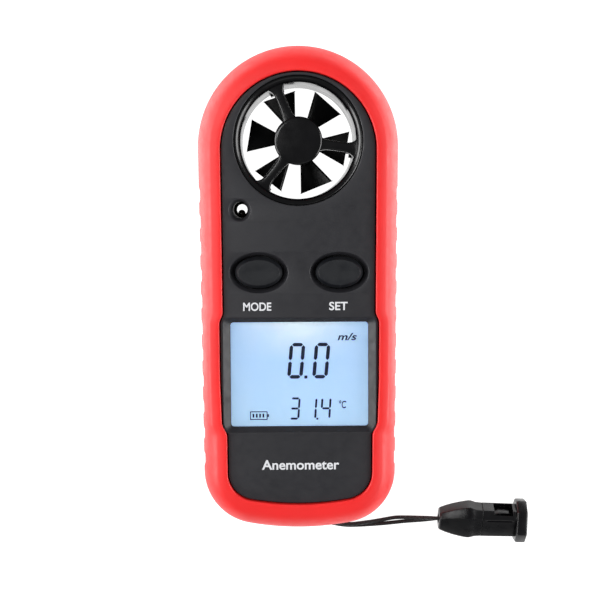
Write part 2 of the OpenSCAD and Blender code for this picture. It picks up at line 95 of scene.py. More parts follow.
look(CAMERA_AT, CAMERA_TARGET, CAMERA_ROLL, CAMERA_LENS)


# ---------------------------------------------------------------- materials
NOISE_LOW, NOISE_HIGH = 0.3, 0.7  # most of what a Noise node gives lies between these
MIX_INPUTS, MIX_OUTPUT = (0, 6, 7), 2  # sockets of a Mix node that mixes colours
LEAST_ROUGH = 0.02
TONE_SIZE, GLOSS_SIZE, GLOSS_SHARE = 7, 3, 0.25


def rgb(code):
    """A display colour such as "ff3434" as linear light."""
    part = [int(code[i:i + 2], 16) / 255 for i in (0, 2, 4)]
    return [c / 12.92 if c <= 0.04045 else ((c + 0.055) / 1.055) ** 2.4 for c in part] + [1]


class Paint:
    """A Principled material with colour variation, fine bump and uneven roughness."""

    def __init__(self, name, colour, rough, **sockets):
        self.mat = bpy.data.materials.new(name)
        self.mat.use_nodes = True
        self.nodes = self.mat.node_tree.nodes
        self.bsdf = self.nodes["Principled BSDF"]
        self.place = self.nodes.new("ShaderNodeTexCoord").outputs["Object"]
        self.colour, self.rough = rgb(colour), rough
        self.bsdf.inputs["Base Color"].default_value = self.colour
        self.bsdf.inputs["Roughness"].default_value = rough
        for key, value in sockets.items():
            self.bsdf.inputs[key.replace("_", " ")].default_value = value
        self.height = None

    def link(self, a, b):
        self.mat.node_tree.links.new(a, b)

    def axes(self):
        """X, Y and Z in the object's own coordinates."""
        node = self.nodes.new("ShaderNodeSeparateXYZ")
        self.link(self.place, node.inputs[0])
        return node.outputs

    def figure(self, operation, *values):
        """The result of a Math node for one or two values."""
        node = self.nodes.new("ShaderNodeMath")
        node.operation = operation
        for value, socket in zip(values, node.inputs):
            self.link(value, socket)
        return node.outputs[0]

    def noise(self, size, detail=3):
        node = self.nodes.new("ShaderNodeTexNoise")
        node.inputs["Scale"].default_value = 1 / (size * MM)
        node.inputs["Detail"].default_value = detail
        self.link(self.place, node.inputs["Vector"])
        return node.outputs["Fac"]

    def spread(self, value, low, high, from_low=NOISE_LOW, from_high=NOISE_HIGH):
        """Carries value from one range over to the range from low to high."""
        node = self.nodes.new("ShaderNodeMapRange")
        ends = {"From Min": from_low, "From Max": from_high, "To Min": low, "To Max": high}
        for key, number in ends.items():
            node.inputs[key].default_value = number
        self.link(value, node.inputs["Value"])
        return node.outputs["Result"]

    def mix(self, share, a, b):
        """Colour a where share is 0, b where it is 1. Each is a socket or a value."""
        node = self.nodes.new("ShaderNodeMix")
        node.data_type = "RGBA"
        for i, value in zip(MIX_INPUTS, (share, a, b)):
            if isinstance(value, bpy.types.NodeSocket):
                self.link(value, node.inputs[i])
            else:
                node.inputs[i].default_value = value
        return node.outputs[MIX_OUTPUT]

    def tones(self, size, amount):
        """Slow changes of colour, amount being the share that it goes lighter and darker."""
        dark = [c * (1 - amount) for c in self.colour[:3]] + [1]
        light = [min(1, c * (1 + amount)) for c in self.colour[:3]] + [1]
        shade = self.mix(self.spread(self.noise(size), 0, 1), dark, light)
        self.link(shade, self.bsdf.inputs["Base Color"])
        return self

    def gloss(self, size, amount):
        """Uneven roughness, amount being how far it goes up and down."""
        low, high = max(LEAST_ROUGH, self.rough - amount), min(1, self.rough + amount)
        share = self.spread(self.noise(size, detail=4), low, high)
        self.link(share, self.bsdf.inputs["Roughness"])
        return self

    def bump(self, size, depth, detail=3):
        return self.relief(self.noise(size, detail), depth)

    def relief(self, value, depth):
        """Adds a bump of the given depth on top of those already there."""
        node = self.nodes.new("ShaderNodeBump")
        node.inputs["Distance"].default_value = depth * MM
        node.inputs["Strength"].default_value = 1
        self.link(value, node.inputs["Height"])
        if self.height is not None:
            self.link(self.height, node.inputs["Normal"])
        self.height = node.outputs["Normal"]
        self.link(self.height, self.bsdf.inputs["Normal"])
        return self


def plain(name, colour, rough, tone=0.12, grain=0.35, depth=0.01, **sockets):
    """The usual moulded or metal finish."""
    paint = Paint(name, colour, rough, **sockets).tones(TONE_SIZE, tone)
    return paint.gloss(GLOSS_SIZE, rough * GLOSS_SHARE).bump(grain, depth).mat


rubber = Paint("sleeve_rubber", "fa1f1f", 0.5, Specular_IOR_Level=0.65)
rubber.tones(14, 0.05).gloss(2.2, 0.06).bump(0.22, 0.006, 4).bump(5, 0.03)
case_paint = Paint("case_black", "27272b", 0.5, Specular_IOR_Level=0.5)
case_paint.tones(9, 0.1).gloss(1.5, 0.07).bump(0.16, 0.008, 5)
RUBBER = rubber.mat
CASE = case_paint.mat
GUARD = plain("guard_black", "060608", 0.22, grain=0.5, depth=0.006)
BLADE = plain("impeller_black", "050506", 0.45, grain=0.4, depth=0.008)
KEY = plain("key_rubber", "0d1016", 0.55, grain=0.2, depth=0.008)
BUCKLE = plain("buckle_black", "08080b", 0.3, grain=0.6, depth=0.01, Specular_IOR_Level=0.42)
STEEL = plain("steel", "b9bbbe", 0.28, grain=0.3, depth=0.004, Metallic=1.0)
JEWEL = plain("jewel", "b3122e", 0.12, Coat_Weight=0.6)
EPOXY = plain("epoxy_black", "0b0b0c", 0.4)
FLEX = plain("flex_amber", "b06a1f", 0.3)
BEAD = plain("bead", "20140c", 0.3, Coat_Weight=0.4)
BOARD = plain("board_green", "1d6337", 0.35, grain=0.6, depth=0.02)
CERAMIC = plain("ceramic_tan", "b79b72", 0.5)
GUIDE = plain("guide_clear", "dcebf7", 0.2, Transmission_Weight=0.5)
LED = plain("led_white", "f4f1e4", 0.35)
ZEBRA = plain("zebra", "5d6670", 0.6)
SWITCH = plain("switch_grey", "3d3e41", 0.45)
PLUNGER = plain("plunger_grey", "86888b", 0.45)
CELL = plain("cell_steel", "d0d1d3", 0.22, grain=0.9, depth=0.004, Metallic=1.0)
GOLD = plain("contact_gold", "d9a441", 0.25, Metallic=1.0)
PRINT = plain("print_white", "e9eaee", 0.55, tone=0.04, grain=0.25, depth=0.004)
SEGMENT = plain("segment_navy", "0c2449", 0.35, tone=0.1, grain=0.4, depth=0.002)

clear = Paint("window_clear", "ffffff", 0.03, Transmission_Weight=1.0, IOR=1.45)
WINDOW = clear.gloss(4, 0.012).bump(6, 0.002).mat

GLOW_LOW, GLOW_HIGH, GLOW_PATCH, GLOW_DIM = "b9dcfa", "aed0f8", "f2ffff", "a7cdf6"
GLOW_STRENGTH, PATCH_FROM, DIM_SHARE = 0.58, 0.62, 0.25


def backlight():
    """The display's pale blue glow: lighter near the two lamps at the top, with faint blotches."""
    paint = Paint("lcd_glass", "a9cdf2", 0.35)
    low, high = box("lcd_glass")
    place = paint.axes()
    rise = paint.spread(place["Y"], 0, 1, low.y * MM, high.y * MM)
    near = paint.spread(paint.figure("ABSOLUTE", place["X"]), 1, 0, 0, high.x * MM)
    patch = paint.figure("MULTIPLY", paint.spread(rise, 0, 1, PATCH_FROM, 1), near)
    glow = paint.mix(patch, paint.mix(rise, rgb(GLOW_LOW), rgb(GLOW_HIGH)), rgb(GLOW_PATCH))
    glow = paint.mix(paint.spread(paint.noise(5, 2), 0, DIM_SHARE), glow, rgb(GLOW_DIM))
    paint.link(glow, paint.bsdf.inputs["Base Color"])
    paint.link(glow, paint.bsdf.inputs["Emission Color"])
    paint.bsdf.inputs["Emission Strength"].default_value = GLOW_STRENGTH
    return paint.bump(0.2, 0.001).mat


LCD = backlight()
STRANDS_ALONG, STRANDS_ROUND, STRAND_SCALE, STRAND_DEPTH = 150, 6, 0.35, 0.05


def braid():
    """Black braided nylon: fine crossing strands along the cord."""
    paint = Paint("cord_black", "08080a", 0.65, Sheen_Weight=0.06, Sheen_Roughness=0.5)
    where = paint.nodes.new("ShaderNodeTexCoord").outputs["UV"]
    waves = []
    for slant in (-1, 1):
        mapping = paint.nodes.new("ShaderNodeMapping")
        mapping.inputs["Scale"].default_value = (STRANDS_ALONG, STRANDS_ROUND * slant, 1)
        paint.link(where, mapping.inputs["Vector"])
        wave = paint.nodes.new("ShaderNodeTexWave")
        wave.bands_direction = "DIAGONAL"
        wave.inputs["Scale"].default_value = STRAND_SCALE
        paint.link(mapping.outputs["Vector"], wave.inputs["Vector"])
        waves.append(wave.outputs["Fac"])
    paint.tones(2, 0.3).gloss(1, 0.1)
    return paint.relief(paint.figure("MAXIMUM", *waves), STRAND_DEPTH).mat


CORD = braid()


# ---------------------------------------------------------------- mesh tools
MERGE, NODE_MERGE = 0.002, 0.001
NODE_FLAT = math.radians(0.6)
FLAT_AREA = 25  # square millimetres


class Shape:
    """A mesh built from rings of points, in millimetres."""

    def __init__(self):
        self.points, self.faces = [], []

    def ring(self, points):
        start = len(self.points)
        self.points += [Vector(p) for p in points]
        return list(range(start, len(self.points)))

    def bridge(self, a, b):
        n = len(a)
        self.faces += [(a[i], a[(i + 1) % n], b[(i + 1) % n], b[i]) for i in range(n)]

    def loft(self, rings, closed=False, caps=False):
        """Skins rings of equal length. closed joins the last ring to the first."""
        made = [self.ring(r) for r in rings]
        for a, b in zip(made, made[1:]):
            self.bridge(a, b)
        if closed:
            self.bridge(made[-1], made[0])
        if caps:
            self.faces += [tuple(made[0]), tuple(reversed(made[-1]))]
        return made

    def fill(self, loops):
        """A flat face inside the first ring with the other rings as holes."""
        flat = [i for loop in loops for i in loop]
        lines = [[self.points[i] for i in loop] for loop in loops]
        self.faces += [tuple(flat[k] for k in t) for t in tessellate_polygon(lines)]

    def object(self, name, move=None):
        """The mesh as an object in metres, after the matrix move if there is one."""
        mesh = bpy.data.meshes.new(name)
        place = (Matrix.Scale(MM, 4) @ move) if move else Matrix.Scale(MM, 4)
        mesh.from_pydata([place @ p for p in self.points], [], self.faces)
        shaped = bmesh.new()
        shaped.from_mesh(mesh)
        bmesh.ops.remove_doubles(shaped, verts=shaped.verts, dist=MERGE * MM)
        bmesh.ops.recalc_face_normals(shaped, faces=shaped.faces)
        shaped.to_mesh(mesh)
        shaped.free()
        return added(name, mesh)


def smooth(obj, angle=35):
    """Smooth shading that stays crisp at edges sharper than angle and round large flat faces."""
    shaped = bmesh.new()
    shaped.from_mesh(obj.data)
    for face in shaped.faces:
        face.smooth = True
    for edge in shaped.edges:
        edge.smooth = not edge.is_manifold or edge.calc_face_angle(0) < math.radians(angle)
        if any(face.calc_area() > FLAT_AREA * MM * MM for face in edge.link_faces):
            edge.smooth = False
    shaped.to_mesh(obj.data)
    shaped.free()


def apply_modifiers(obj):
    """Makes what the modifiers give into the object's own mesh."""
    graph = bpy.context.evaluated_depsgraph_get()
    mesh = bpy.data.meshes.new_from_object(obj.evaluated_get(graph))
    obj.modifiers.clear()
    obj.data = mesh


def cut(obj, *tools):
    for tool in tools:
        step = obj.modifiers.new("cut", "BOOLEAN")
        step.operation, step.solver, step.object = "DIFFERENCE", "EXACT", tool
    apply_modifiers(obj)
    for tool in tools:
        bpy.data.objects.remove(tool)


def ease(obj, width, angle=35, segments=2):
    """Rounds every edge sharper than angle by width millimetres."""
    step = obj.modifiers.new("ease", "BEVEL")
    step.width, step.segments = width * MM, segments
    step.limit_method, step.angle_limit = "ANGLE", math.radians(angle)
    apply_modifiers(obj)


def piece(obj, body, material, slot, *nodes, angle=35):
    """Gives obj its shading, material and body, and hides the CAD nodes it stands for. Its slot is
    not used.
    """
    if obj.type == "MESH":
        smooth(obj, angle)
    obj.data.materials.clear()
    obj.data.materials.append(material)
    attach(obj, body)
    if nodes:
        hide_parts(*nodes)
    return obj


def eased_node(node, name, width, body, material, slot):
    """A copy of a CAD node with its edges rounded, which stands for the node."""
    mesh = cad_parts[node].data.copy()
    if "custom_normal" in mesh.attributes:
        mesh.attributes.remove(mesh.attributes["custom_normal"])
    shaped = bmesh.new()
    shaped.from_mesh(mesh)
    bmesh.ops.remove_doubles(shaped, verts=shaped.verts, dist=NODE_MERGE * MM)
    bmesh.ops.dissolve_limit(shaped, angle_limit=NODE_FLAT, verts=shaped.verts, edges=shaped.edges)
    shaped.to_mesh(mesh)
    shaped.free()
    obj = added(name, mesh)
    ease(obj, width)
    return piece(obj, body, material, slot, node, angle=24)


def circle(centre, r, z, steps=96):
    return [(centre[0] + r * math.cos(a), centre[1] + r * math.sin(a), z)
            for a in (2 * math.pi * i / steps for i in range(steps))]


def oval(centre, a, b, z, steps=96):
    return [(centre[0] + a * math.cos(t), centre[1] + b * math.sin(t), z)
            for t in (2 * math.pi * i / steps for i in range(steps))]


def rounded(x0, y0, x1, y1, r, z, steps=10):
    """A rectangle with round corners, anticlockwise."""
    centres = ((x1 - r, y1 - r), (x0 + r, y1 - r), (x0 + r, y0 + r), (x1 - r, y0 + r))
    points = []
    for (cx, cy), start in zip(centres, (0, 90, 180, 270)):
        for i in range(steps + 1):
            a = math.radians(start + 90 * i / steps)
            points.append((cx + r * math.cos(a), cy + r * math.sin(a), z))
    return points


def lathe(shape, centre, profile, steps=96):
    """Turns a closed profile of (radius, height) about an upright axis."""
    shape.loft([circle(centre, r, z, steps) for r, z in profile], closed=True)


# ---------------------------------------------------------------- outlines of the case
sleeve_low, sleeve_high = box("bumper")
CASE_HALF = sleeve_high.x
CASE_TOP = sleeve_high.y
CASE_H = sleeve_high.z
SLEEVE_Z = sleeve_low.z
FACE_Z = box("front_shell")[1].z
FOOT_HALF, FOOT_CORNER, FOOT_Y = 21.0, 12, -39.64
BELLY_R = 60
TOP_STEPS, SIDE_STEPS, CORNER_STEPS, BELLY_STEPS = 120, 200, 24, 30
GROOVE_PITCH, GROOVE_TOP, GROOVE_COUNT, GROOVE_DEEP = 5.755, 20.6, 11, 0.42
GROOVE_FLOOR, GROOVE_MOUTH = 2.1, 3.6


def outline(top_y, top_r, foot_x, corner_r, bottom_y, half_width, grow=0):
    """Points of a case outline. Every outline has as many points, in step with each other."""
    belly_y = bottom_y + BELLY_R
    corner_y = belly_y - math.sqrt((BELLY_R - corner_r) ** 2 - foot_x ** 2)
    tangent = math.atan2(belly_y - corner_y, foot_x)
    points = []

    def sweep(cx, cy, r, start, stop, steps, ends=(0, 1)):
        for i in range(ends[0], steps + ends[1]):
            a = start + (stop - start) * i / steps
            points.append((cx + (r + grow) * math.cos(a), cy + (r + grow) * math.sin(a)))

    sweep(0, top_y, top_r, 0, math.pi, TOP_STEPS)
    down = [top_y + (corner_y - top_y) * i / SIDE_STEPS for i in range(1, SIDE_STEPS)]
    points += [(-half_width(y) - grow, y) for y in down]
    sweep(-foot_x, corner_y, corner_r, math.pi, math.pi + tangent, CORNER_STEPS)
    sweep(0, belly_y, BELLY_R, math.pi + tangent, 2 * math.pi - tangent, BELLY_STEPS, (1, 0))
    sweep(foot_x, corner_y, corner_r, 2 * math.pi - tangent, 2 * math.pi, CORNER_STEPS)
    points += [(half_width(y) + grow, y) for y in reversed(down)]
    return points


def tapered(top_half, loss, top_y, length):
    """A half width that falls by loss over a length down from top_y."""
    return lambda y: top_half - loss * (top_y - y) / length


CASE_ARC_Y = CASE_TOP - CASE_HALF  # where the round top of the case meets its sides
case_side = tapered(CASE_HALF, CASE_HALF - FOOT_HALF, CASE_ARC_Y, CASE_ARC_Y - FOOT_Y)

# Corners of the display face as (y, half width), from the fan down to the foot.
FACE_SIDE = [
    (30, 16.6), (-4.8, 16.35), (-6.4, 17.1), (-19, 17.05), (-28.6, 16.75), (-30.7, 15.65),
    (-39.2, 15.6),
]


def face_corner(y):
    """Half width of the display face at y, with sharp corners."""
    for (y0, x0), (y1, x1) in zip(FACE_SIDE, FACE_SIDE[1:]):
        if y >= y1:
            return x0 + (x1 - x0) * min(1, (y0 - y) / (y0 - y1))
    return FACE_SIDE[-1][1]


def face_side(y, soft=0.5):
    """Half width of the display face, with the corners of its notches slightly rounded."""
    return sum(face_corner(y + soft * k / 4) for k in range(-4, 5)) / 9


def case_points(grow=0):
    return outline(CASE_ARC_Y, CASE_HALF, FOOT_HALF - FOOT_CORNER, FOOT_CORNER, -CASE_TOP,
                   case_side, grow)


def face_points(grow=0):
    return outline(top_y=30, top_r=16.6, foot_x=9.6, corner_r=6, bottom_y=-46.05,
                   half_width=face_side, grow=grow)


def shell_points(grow=0):
    return outline(top_y=30.3, top_r=18.2, foot_x=9.95, corner_r=8, bottom_y=-48,
                   half_width=tapered(18.2, 0.25, 30.3, 69.3), grow=grow)


def back_points(grow=0):
    return outline(top_y=30, top_r=16.4, foot_x=9.6, corner_r=6, bottom_y=-46,
                   half_width=tapered(16.4, 0.8, 30, 69.1), grow=grow)


def at(points, z):
    return [(x, y, z) for x, y in points]


def groove(y):
    """Depth of the finger grooves on the side at y."""
    i = round((GROOVE_TOP - y) / GROOVE_PITCH)
    if not 0 <= i < GROOVE_COUNT:
        return 0
    off = abs(y - (GROOVE_TOP - i * GROOVE_PITCH))
    share = (GROOVE_MOUTH / 2 - off) / ((GROOVE_MOUTH - GROOVE_FLOOR) / 2)
    share = max(0, min(1, share))
    return GROOVE_DEEP * share * share * (3 - 2 * share)


# ---------------------------------------------------------------- sleeve
LIP_BAND, CREASE_DROP, LIP_UNDER = 1.95, 0.38, 15.85
WAIST_LOW, WAIST_HIGH = 7.5, 10.5
SIDE_SWEEP, SWEEP_SHARE = math.radians(76), 0.97
BACK_STEPS, FRONT_STEPS, BACK_INSET, BACK_LEDGE = 10, 12, 3.6, 1.5
SIDE_X, SIDE_Y = FOOT_HALF - 0.2, 45  # the grooved sides lie beyond SIDE_X and within SIDE_Y
# The rim of the opening at the back, as (out from the rear shell, height).
BACK_SLIP = 0.05
BACK_RIM = [(BACK_SLIP, 1.4), (BACK_SLIP, 0.55), (0.2, SLEEVE_Z)]
# The lip from the crease to its inner edge, as (out from the face, below the top).
LIP = [
    (LIP_BAND - 0.02, 0.35), (LIP_BAND - 0.3, 0.24), (0.9, 0.08), (0.32, 0), (0.16, 0.03),
    (0.05, 0.12), (0, 0.3),
]
SLOT_LEFT, SLOT_RIGHT, SLOT_TOP, SLOT_R, SLOT_Y = -2.8, 8.8, 6.9, 1, (-60, -44)


def grooved(x, y):
    """x drawn in to the side of the sleeve with its finger grooves."""
    return math.copysign(min(abs(x), case_side(y) - groove(y)), x)


def sleeve():
    """The rubber sleeve: full sides, a crease, and a flat lip round the display face."""
    rise = CASE_H - CREASE_DROP - WAIST_HIGH
    outer, crease = case_points(), face_points(LIP_BAND)

    def toward(share, z):
        """The ring at z that is a share of the way from the outline to the crease."""
        ring = []
        for (x0, y0), (x1, y1) in zip(outer, crease):
            x, y = x0 + (x1 - x0) * share, y0 + (y1 - y0) * share
            ring.append((grooved(x, y) if abs(x0) > SIDE_X else x, y, z))
        return ring

    rings = [at(back_points(out), z) for out, z in BACK_RIM]
    for i in range(BACK_STEPS + 1):
        t = SIDE_SWEEP * (1 - i / BACK_STEPS)
        inset = BACK_INSET * (1 - math.cos(t))
        z = WAIST_LOW - (WAIST_LOW - SLEEVE_Z) * math.sin(t) / math.sin(SIDE_SWEEP)
        rings.append([(grooved(x, y) if abs(y) < SIDE_Y else x, y, z)
                      for x, y in case_points(-inset)])
    for i in range(FRONT_STEPS + 1):
        t = SIDE_SWEEP * i / FRONT_STEPS
        share = (1 - math.cos(t)) / (1 - math.cos(SIDE_SWEEP)) * SWEEP_SHARE
        rings.append(toward(share, WAIST_HIGH + rise * math.sin(t) / math.sin(SIDE_SWEEP)))
    rings += [at(face_points(out), CASE_H - drop) for out, drop in LIP]
    rings += [at(face_points(0), LIP_UNDER), at(shell_points(0), LIP_UNDER),
              at(shell_points(0), BACK_LEDGE), at(back_points(BACK_SLIP), BACK_LEDGE)]
    shape = Shape()
    shape.loft(rings, closed=True)
    obj = shape.object("sleeve")
    tool = Shape()
    section = [(SLOT_LEFT, -2), (SLOT_RIGHT, -2)]
    for x, start in ((SLOT_RIGHT - SLOT_R, 0), (SLOT_LEFT + SLOT_R, 90)):
        for i in range(7):
            a = math.radians(start + 15 * i)
            section.append((x + SLOT_R * math.cos(a), SLOT_TOP - SLOT_R + SLOT_R * math.sin(a)))
    tool.loft([[(x, y, z) for x, z in section] for y in SLOT_Y], caps=True)
    cut(obj, tool.object("slot_tool"))
    return piece(obj, "case", RUBBER, "sleeve_rubber", "bumper", angle=28)


sleeve()


# ---------------------------------------------------------------- display face
FAN = middle("fan_housing").xy
KEYS = {name: middle("button_" + name).xy for name in ("mode", "set")}
VIEW_LOW, VIEW_HIGH = Vector((-14.75, -29.15)), Vector((14.75, -6.65))
SENSOR = Vector((-12.5, 17.35))
SLIP, FACE_GAP, SHELL_WALL = 0.05, 0.27, 1.8
FACE_SKIRT, FACE_LEDGE, FACE_UNDER, SHELL_FOOT = (16.2, 16.1), 15.8, 15.2, 8
FACE_RIM = [(0.2, 0), (0.08, 0.03), (0.02, 0.1), (0, 0.25)]  # (in from the edge, below the face)
# Rims of the round openings, as (radius, below the face).
FAN_RIM = [(14.0, 0), (13.86, 0.03), (13.78, 0.1), (13.75, 0.25)]
SENSOR_RIM = [(2.52, 0), (2.4, 0.03), (2.3, 0.12), (1.9, 0.95), (1.8, 1.2)]
SENSOR_FLOOR, SENSOR_WIDE = 2.05, 2.6
# Rim of the moat round a key, as (out from its floor, below the face).
MOAT_RIM = [
    (1.1, 0), (0.99, 0.03), (0.91, 0.1), (0.84, 0.25), (0.5, 0.8), (0.12, 1.32), (0.03, 1.45),
    (0, 1.6),
]
MOAT_A, MOAT_B, MOAT_SQUASH = 5.35, 3.65, 0.74
# Rim of the display, as (out at the sides, at the top, at the bottom, corner, height).
VIEW_RIM = [
    (1.68, 1.18, 1.38, 1.5, FACE_Z), (1.55, 1.05, 1.25, 1.4, FACE_Z - 0.03),
    (1.45, 0.96, 1.15, 1.35, FACE_Z - 0.12), (0.32, 0.24, 0.3, 0.85, 16.52),
    (0.16, 0.14, 0.16, 0.75, 16.36), (0.0, 0.0, 0.0, 0.65, 16.3),
    (0.68, 0.73, 0.73, 0.65, 16.28), (0.68, 0.73, 0.73, 0.65, FACE_UNDER),
]


def front():
    """The front shell, with eased edges round the fan, the keys, the sensor and the display."""
    shape = Shape()
    rings = [at(face_points(-FACE_GAP - side), FACE_Z - drop) for side, drop in FACE_RIM]
    rings += [
        at(face_points(-FACE_GAP), FACE_SKIRT[0]), at(face_points(-SLIP), FACE_SKIRT[1]),
        at(face_points(-SLIP), FACE_LEDGE), at(shell_points(-SLIP - 0.15), FACE_LEDGE),
        at(shell_points(-SLIP), 15.65), at(shell_points(-SLIP), SHELL_FOOT),
        at(shell_points(-SHELL_WALL), SHELL_FOOT), at(shell_points(-SHELL_WALL), FACE_UNDER),
    ]
    outer = shape.loft(rings)
    tops, bottoms = [outer[0]], [outer[-1]]

    def hole(rings):
        made = shape.loft(rings)
        tops.append(made[0])
        bottoms.append(made[-1])

    fan = [(r, FACE_Z - drop) for r, drop in FAN_RIM] + [(FAN_RIM[-1][0], FACE_UNDER)]
    hole([circle(FAN, r, z, 160) for r, z in fan])
    moat = [(out, FACE_Z - drop) for out, drop in MOAT_RIM] + [(0, FACE_UNDER)]
    for centre in KEYS.values():
        hole([oval(centre, MOAT_A + out, MOAT_B + out * MOAT_SQUASH, z) for out, z in moat])
    sensor = [(r, FACE_Z - drop) for r, drop in SENSOR_RIM]
    sensor += [(SENSOR_RIM[-1][0], SENSOR_FLOOR), (SENSOR_WIDE, SENSOR_FLOOR),
               (SENSOR_WIDE, FACE_UNDER)]
    hole([circle(SENSOR, r, z, 64) for r, z in sensor])
    hole([rounded(VIEW_LOW.x - side, VIEW_LOW.y - bottom, VIEW_HIGH.x + side, VIEW_HIGH.y + top,
                  corner, z) for side, top, bottom, corner, z in VIEW_RIM])
    shape.fill(tops)
    shape.fill(bottoms)
    return piece(shape.object("front_case"), "case", CASE, "case_black", "front_shell", angle=32)


front()


# ---------------------------------------------------------------- fan
HOUSING_Z = box("fan_housing")[0].z
# Closed profile of the duct with its bell mouth and its foot ring, as (radius, height).
DUCT = [
    (13.7, 3.1), (13.7, 16.85), (13.66, 17.02), (13.55, 17.1), (13.38, 17.08), (13.1, 16.93),
    (12.8, 16.7), (12.52, 16.4), (12.36, 16.1), (12.3, 15.7), (12.3, 0.75), (12.38, 0.45),
    (12.6, HOUSING_Z), (13.4, HOUSING_Z), (13.62, 0.38), (13.7, 0.6), (13.7, 2.0), (14.35, 2.0),
    (14.4, 2.1), (14.4, 3.0), (14.35, 3.1),
]
GUARD_HUB = [
    (0.001, 12.6), (4.9, 12.6), (5.15, 12.85), (5.15, 15.6), (5.1, 15.85), (4.95, 16.05),
    (4.7, 16.16), (4.4, 16.2), (0.001, 16.2),
]
SPOKE_ANGLES, SPOKE_TOP, SPOKE_UNDER = (112, 232, 352), 16.0, 13.2
SPOKE_EDGE = [(0, 0.42), (0.07, 0.2), (0.22, 0.06), (0.42, 0)]  # (in from the side, below the top)
SPOKE_HALVES = [  # (radius, half width)
    (4.4, 1.55), (4.9, 1.42), (5.4, 1.22), (6.2, 1.05), (7.5, 1.0), (9.5, 1.0), (10.6, 1.05),
    (11.3, 1.25), (11.9, 1.65), (12.35, 2.15), (12.8, 2.5),
]


def guard():
    """Tube, bell mouth, hub and three flared spokes of the fan's guard."""
    shape = Shape()
    lathe(shape, FAN, DUCT, 160)
    rings = shape.loft([circle(FAN, r, z) for r, z in GUARD_HUB])
    shape.faces += [tuple(rings[0]), tuple(reversed(rings[-1]))]
    for angle in SPOKE_ANGLES:
        turn = Matrix.Translation((FAN.x, FAN.y, 0)) @ Matrix.Rotation(math.radians(angle), 4, "Z")
        rings = []
        for r, half in SPOKE_HALVES:
            edge = [(half - side, SPOKE_TOP - drop) for side, drop in SPOKE_EDGE]
            section = [(-half, SPOKE_UNDER), (half, SPOKE_UNDER)] + edge
            section += [(-y, z) for y, z in reversed(edge)]
            rings.append([turn @ Vector((r, y, z)) for y, z in section])
        shape.loft(rings, caps=True)
    return piece(shape.object("fan_guard"), "case", GUARD, "guard_black", "fan_housing", angle=32)


guard()

IMPELLER_HUB = [
    (0.5, 6.2), (4.0, 6.2), (4.22, 6.3), (4.3, 6.5), (4.3, 10.6), (4.22, 10.85), (4.0, 11.0),
    (0.5, 11.0),
]
BLADES, BLADE_START, BLADE_PITCH, BLADE_Z = 6, 52, math.radians(38), 8.6
BLADE_ROOT, BLADE_TIP, BLADE_STEPS = 3.9, 11.2, 14
BLADE_FROM, BLADE_TO = 3.8, BLADE_TIP + 0.5  # radii where the half widths below are reached
BLADE_NARROW, BLADE_WIDE = 1.1, 5.0
BLADE_HALF, BLADE_EDGE, BLADE_CHAMFER = 0.35, 0.12, 0.14


def impeller():
    """Hub with a rounded shoulder and six flat blades that widen toward their round tips."""
    shape = Shape()
    lathe(shape, FAN, IMPELLER_HUB)
    hub = shape.object("impeller_hub")
    blades = Shape()
    for i in range(BLADES):
        turn = (Matrix.Translation((FAN.x, FAN.y, BLADE_Z))
                @ Matrix.Rotation(math.radians(BLADE_START + 360 // BLADES * i), 4, "Z")
                @ Matrix.Rotation(BLADE_PITCH, 4, "X"))
        rings = []
        for k in range(BLADE_STEPS + 1):
            r = BLADE_ROOT + (BLADE_TIP - BLADE_ROOT) * k / BLADE_STEPS
            wide = BLADE_NARROW + (BLADE_WIDE - BLADE_NARROW) * (r - BLADE_FROM) / (
                BLADE_TO - BLADE_FROM)
            inner = wide - BLADE_CHAMFER
            section = []
            for y, z in ((-wide, -BLADE_EDGE), (-inner, -BLADE_HALF), (inner, -BLADE_HALF),
                         (wide, -BLADE_EDGE), (wide, BLADE_EDGE), (inner, BLADE_HALF),
                         (-inner, BLADE_HALF), (-wide, BLADE_EDGE)):
                along = r
                if k == BLADE_STEPS:
                    along = math.sqrt(max(0.01, r * r - (y * math.cos(BLADE_PITCH)) ** 2))
                section.append(turn @ Vector((along, y, z)))
            rings.append(section)
        blades.loft(rings, caps=True)
    fan_blades = blades.object("impeller_blades")
    piece(fan_blades, "rotor", BLADE, "impeller_black", "impeller", angle=40)
    return piece(hub, "rotor", BLADE, "impeller_black", "impeller", angle=40)


impeller()


# ---------------------------------------------------------------- keys
KEY_A, KEY_B, KEY_STEM = 5.05, 3.35, 1.5
KEY_FLANGE, FLANGE_UNDER, FLANGE_TOP = (5.9, 4.15), 14.2, 14.9
SHOULDER_Z, SHOULDER_IN, KEY_ROUND = 16.88, 0.6, 0.14
DISH_RINGS, DISH_IN, DISH_STEP, DISH_DEPTH = (0.5, 1.3, 2.4, 3.6), 0.75, 0.55, 0.01


